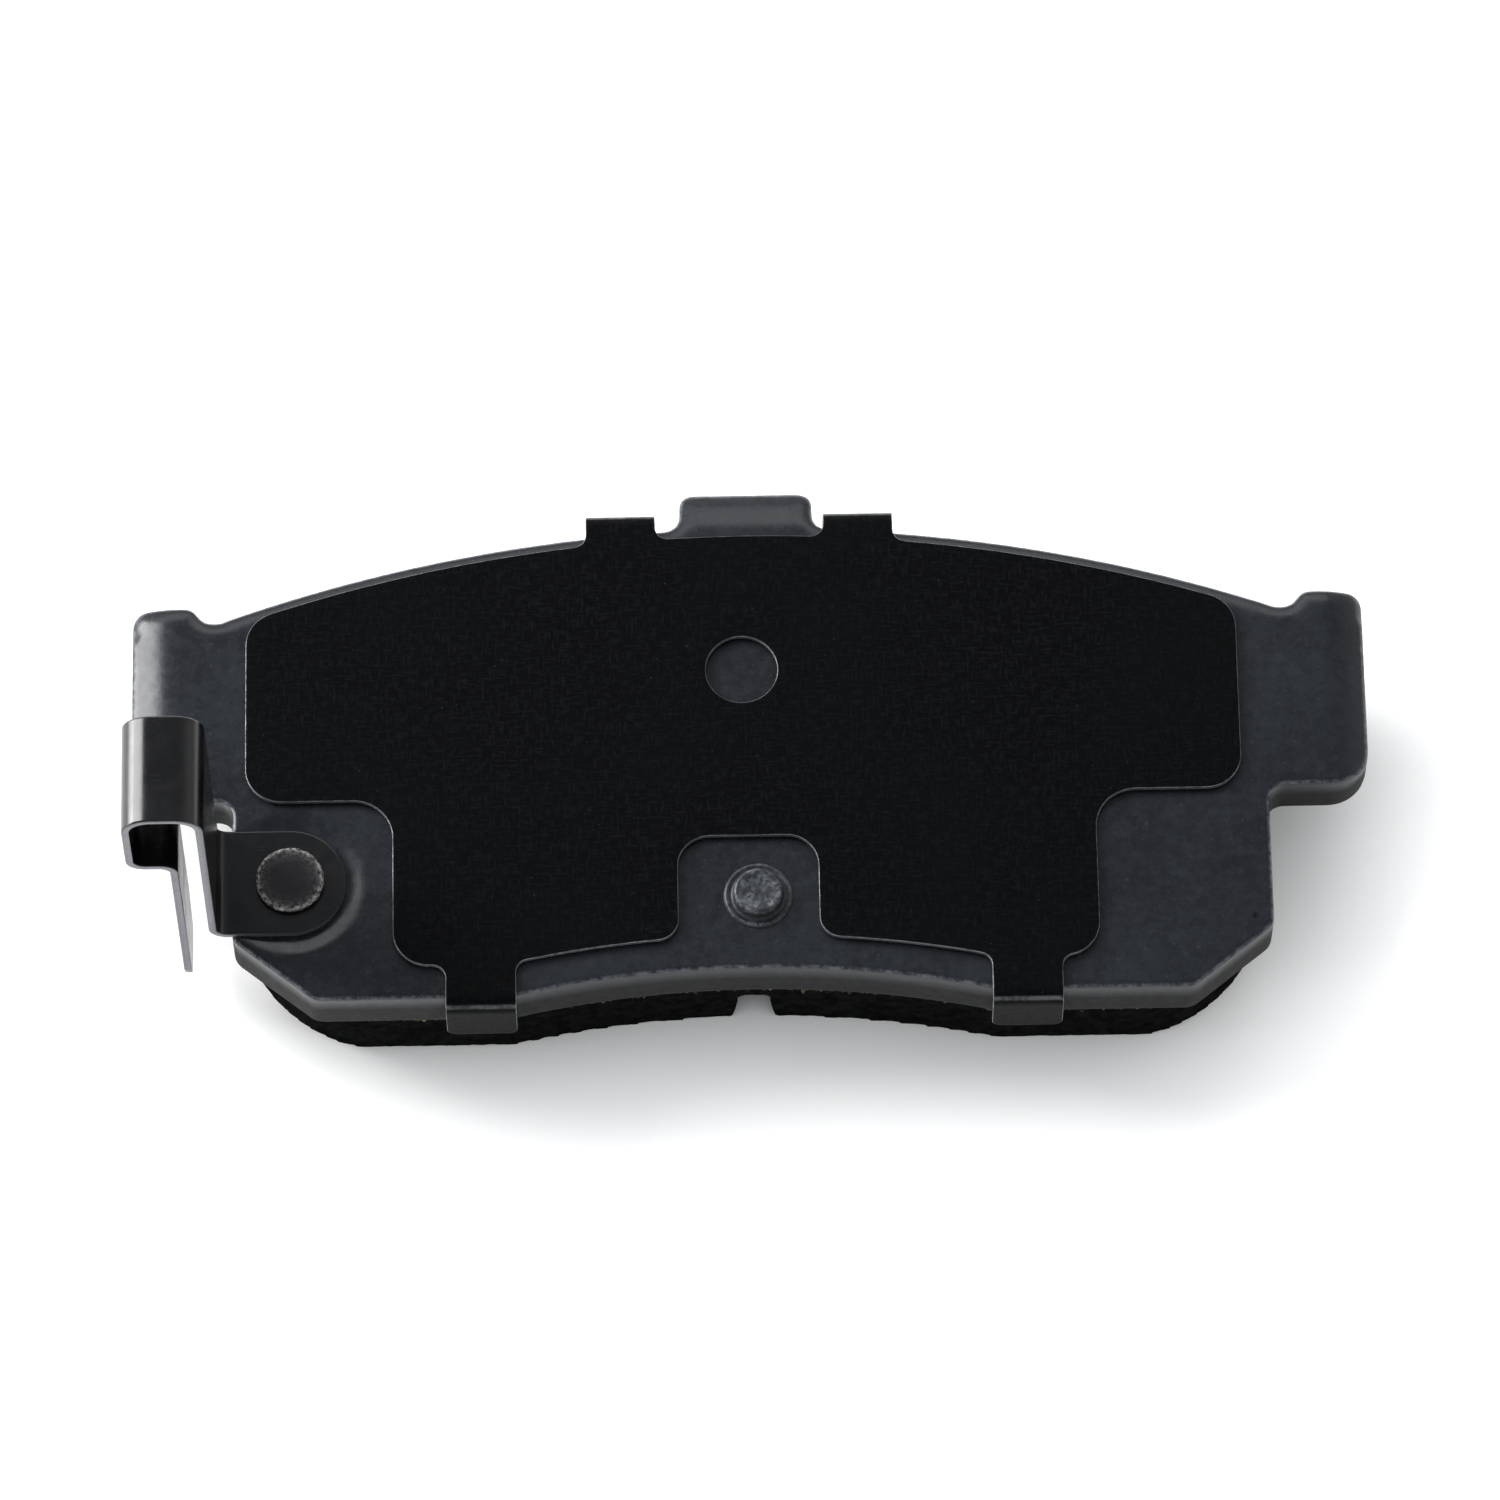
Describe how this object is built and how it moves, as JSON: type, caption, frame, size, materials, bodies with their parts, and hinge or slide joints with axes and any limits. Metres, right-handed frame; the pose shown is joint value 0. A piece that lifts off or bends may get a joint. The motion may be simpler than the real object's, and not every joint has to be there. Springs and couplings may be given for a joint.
{
  "type": "disc brake pad",
  "caption": "Inner disc brake pad with hammerhead ears, slotted and chamfered lining, clip-on shim, locating stud and a riveted hoop-shaped spring wear indicator.",
  "frame": {"origin": "on the friction face's plane, below the centre of the pad's footprint", "axes": "+X along the pad from the wear indicator's ear to the other ear, +Y towards the outer arc, +Z out of the pad's back towards the piston"},
  "size_m": [0.124, 0.0564, 0.0457],
  "materials": {
    "plate_coat": "satin powder coat with a fine orange peel",
    "bond_film": "cured phenolic adhesive",
    "underlayer_grain": "coarse brown and black granules",
    "friction_grain": "ground, speckled, matt; side walls overpainted",
    "shim_rubber": "matt rubber and adhesive film",
    "shim_steel": "satin black with a fine woven texture and bare edges",
    "spring_steel": "gloss black with bare sheared edges",
    "rivet_steel": "dark matt head with a bright ragged rim"
  },
  "bodies": {
    "pad": {"backing_plate": "plate_coat", "bonding_layer": "bond_film", "underlayer": "underlayer_grain", "friction_block": "friction_grain", "shim_rubber_layer": "shim_rubber", "shim_plate": "shim_steel", "wear_indicator_base": "spring_steel", "wear_indicator_rivet": "rivet_steel"},
    "indicator_finger": {"wear_indicator_spring": "spring_steel"}
  },
  "joints": [
    {"name": "indicator_flex", "type": "hinge", "parent": "pad", "child": "indicator_finger", "pos_m": [-0.0563, -0.01415, 0.0453], "axis": [0, 1, 0], "range_deg": [-3, 3], "stiffness_Nm_per_rad": 2.3}
  ]
}
